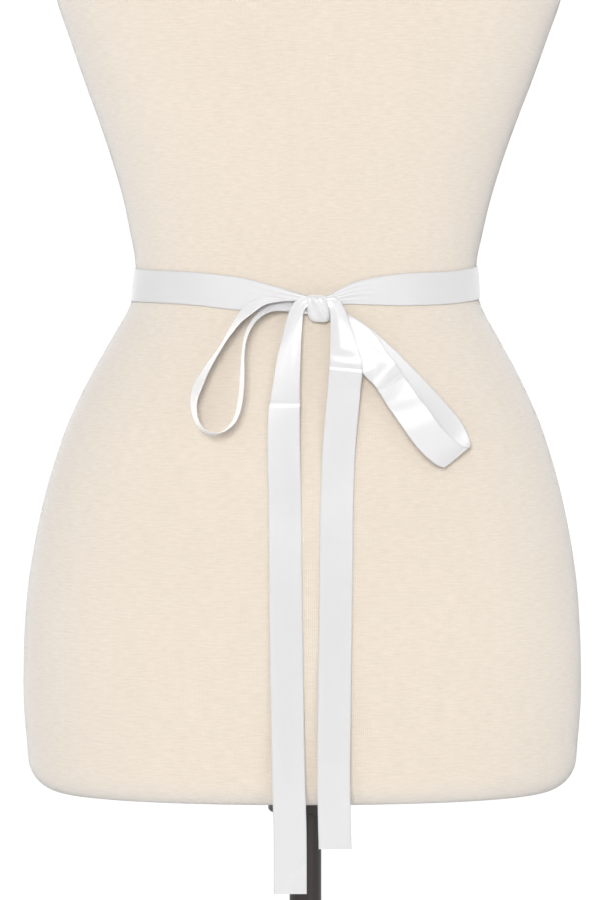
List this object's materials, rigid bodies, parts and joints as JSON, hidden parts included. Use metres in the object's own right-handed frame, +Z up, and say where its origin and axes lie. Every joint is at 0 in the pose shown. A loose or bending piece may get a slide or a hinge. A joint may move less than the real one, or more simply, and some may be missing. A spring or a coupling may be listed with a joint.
{
  "type": "ribbon sash belt on a dress form",
  "caption": "Narrow satin ribbon sash tied round the waist of a limbless dress form on a pole stand, with a bow at the back whose tails hang past the hem.",
  "frame": {"origin": "middle of the stand's round foot, on the floor", "axes": "+Z up the pole, the bow and the form's back face -Y, the bust faces +Y, and +X is the right side seen from behind"},
  "size_m": [0.4, 0.4, 1.548],
  "materials": {
    "white_satin": "smooth white satin with a soft sheen along its length",
    "cream_jersey": "matt cream knitted jersey stretched smooth",
    "dark_metal": "dark brown, nearly black, satin paint"
  },
  "bodies": {
    "root": {"waist_left": "white_satin", "waist_right": "white_satin", "waist_front": "white_satin", "bow_knot": "white_satin", "bow_loop_left": "white_satin", "bow_loop_right": "white_satin", "tail_left": "white_satin", "tail_right": "white_satin", "dress_form": "cream_jersey", "form_hub": "dark_metal", "stand_pole": "dark_metal", "stand_base": "dark_metal"}
  },
  "joints": []
}
